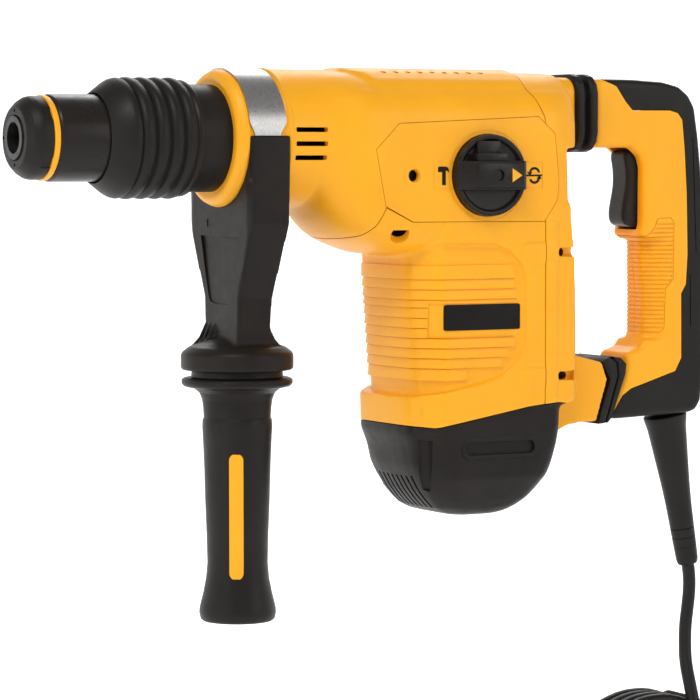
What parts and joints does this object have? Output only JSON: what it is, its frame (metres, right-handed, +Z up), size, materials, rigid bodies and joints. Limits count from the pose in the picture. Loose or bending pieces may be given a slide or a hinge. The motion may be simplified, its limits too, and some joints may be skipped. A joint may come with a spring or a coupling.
{
  "type": "demolition hammer",
  "caption": "Corded demolition hammer with a splined tool socket, swinging side handle, selector knob, floating D handle with trigger and a coiled supply cord.",
  "frame": {"origin": "centre of the tool socket's mouth, on the tool axis", "axes": "+X along the tool axis from the mouth towards the rear handle, +Z up, -Y the side with the selector knob"},
  "size_m": [0.4991, 0.104, 0.5695],
  "materials": {
    "tool_steel": "darkened ground steel",
    "bright_steel": "drawn steel strap",
    "bearing_steel": "polished",
    "yellow_plastic": "satin moulded nylon",
    "black_plastic": "satin moulded nylon",
    "black_rubber": "matt moulded rubber",
    "cast_alloy": "die cast light alloy, as cast",
    "copper": "bare copper",
    "brass": "drawn",
    "carbon": "pressed carbon",
    "switch_plastic": "moulded"
  },
  "bodies": {
    "housing": {"gear_cover": "yellow_plastic", "motor_housing": "yellow_plastic", "rear_cover": "yellow_plastic", "bottom_cap": "black_plastic", "side_panel_left": "yellow_plastic", "side_panel_right": "yellow_plastic", "neck_tube": "black_plastic", "front_seal": "black_rubber", "spindle_bearing": "bearing_steel", "gear_case": "cast_alloy", "crank_bearing": "bearing_steel", "motor_bearings": "bearing_steel", "stator": "bright_steel", "brush_holders": "brass", "carbon_brushes": "carbon", "cover_screws": "bright_steel", "upper_bellows": "black_rubber", "lower_bellows": "black_rubber", "handle_spring": "bright_steel", "handle_pivot_pin": "bearing_steel"},
    "spindle": {"tool_holder": "tool_steel", "nose_cap": "black_rubber", "nose_ring": "yellow_plastic", "front_collar": "black_plastic", "locking_rollers": "bearing_steel", "hammer_tube": "tool_steel", "index_gear": "tool_steel"},
    "sleeve": {"release_sleeve": "black_rubber", "sleeve_spring": "bright_steel"},
    "striker": {"striker": "tool_steel"},
    "ram": {"ram": "tool_steel"},
    "piston": {"piston": "cast_alloy", "piston_seal": "black_rubber", "wrist_pin": "bearing_steel"},
    "conrod": {"conrod": "cast_alloy", "crank_pin": "bearing_steel"},
    "crank": {"crank_gear": "tool_steel"},
    "armature": {"motor_shaft": "tool_steel", "armature_core": "bright_steel", "commutator": "copper", "cooling_fan": "black_plastic"},
    "knob": {"mode_knob": "black_plastic"},
    "lock_slide": {"lock_slide": "tool_steel"},
    "side_handle": {"clamp_band": "bright_steel", "clamp_bolt": "bright_steel", "handle_base": "black_plastic", "handle_damper": "black_rubber"},
    "side_grip": {"grip_core": "black_plastic", "grip_sleeve": "black_rubber"},
    "rear_handle": {"handle_left": "yellow_plastic", "handle_right": "yellow_plastic", "handle_overmould": "black_rubber", "trigger_pin": "bearing_steel", "switch_module": "switch_plastic", "strain_relief": "black_rubber", "cord": "black_rubber", "cord_coil": "black_rubber", "cord_tie": "black_rubber", "plug": "black_rubber"},
    "trigger": {"trigger": "black_plastic"}
  },
  "joints": [
    {"name": "chisel_turn", "type": "hinge", "parent": "housing", "child": "spindle", "pos_m": [0, 0, 0], "axis": [1, 0, 0], "continuous": true},
    {"name": "sleeve_slide", "type": "slide", "parent": "spindle", "child": "sleeve", "axis": [1, 0, 0], "range_m": [0, 0.01], "stiffness_N_per_m": 1500, "springref_m": -0.004},
    {"name": "striker_slide", "type": "slide", "parent": "spindle", "child": "striker", "axis": [-1, 0, 0], "range_m": [0, 0.004]},
    {"name": "ram_slide", "type": "slide", "parent": "spindle", "child": "ram", "axis": [-1, 0, 0], "range_m": [0, 0.0197]},
    {"name": "piston_slide", "type": "slide", "parent": "housing", "child": "piston", "axis": [-1, 0, 0], "range_m": [0, 0.028]},
    {"name": "conrod_swing", "type": "hinge", "parent": "piston", "child": "conrod", "pos_m": [0.207, 0, 0], "axis": [0, 0, 1], "range_deg": [-13, 13]},
    {"name": "motor_spin", "type": "hinge", "parent": "housing", "child": "armature", "pos_m": [0.29, 0, 0], "axis": [0, 0, 1], "continuous": true},
    {"name": "crank_spin", "type": "hinge", "parent": "housing", "child": "crank", "pos_m": [0.255, 0, 0], "axis": [0, 0, 1], "continuous": true},
    {"name": "knob_turn", "type": "hinge", "parent": "housing", "child": "knob", "pos_m": [0.2885, -0.05, -0.022], "axis": [0, -1, 0], "range_deg": [0, 180]},
    {"name": "lock_move", "type": "slide", "parent": "housing", "child": "lock_slide", "axis": [-1, 0, 0], "range_m": [0, 0.0141]},
    {"name": "side_handle_swing", "type": "hinge", "parent": "housing", "child": "side_handle", "pos_m": [0.143, 0, 0], "axis": [1, 0, 0], "continuous": true},
    {"name": "grip_twist", "type": "hinge", "parent": "side_handle", "child": "side_grip", "pos_m": [0.143, 0, -0.2], "axis": [0, 0, 1], "range_deg": [0, 360]},
    {"name": "handle_float", "type": "hinge", "parent": "housing", "child": "rear_handle", "pos_m": [0.378, 0, -0.154], "axis": [0, -1, 0], "range_deg": [0, 1.2], "stiffness_Nm_per_rad": 700, "springref_deg": -0.23},
    {"name": "trigger_pull", "type": "hinge", "parent": "rear_handle", "child": "trigger", "pos_m": [0.432, 0, -0.01], "axis": [0, -1, 0], "range_deg": [0, 7], "stiffness_Nm_per_rad": 2, "springref_deg": -5.73}
  ],
  "couplings": [
    {"joint": "crank_spin", "follows": "motor_spin", "ratio": -0.16667},
    {"joint": "ram_slide", "follows": "piston_slide", "ratio": 0.7},
    {"joint": "lock_move", "follows": "knob_turn", "m_per_rad": 0.0044563}
  ]
}
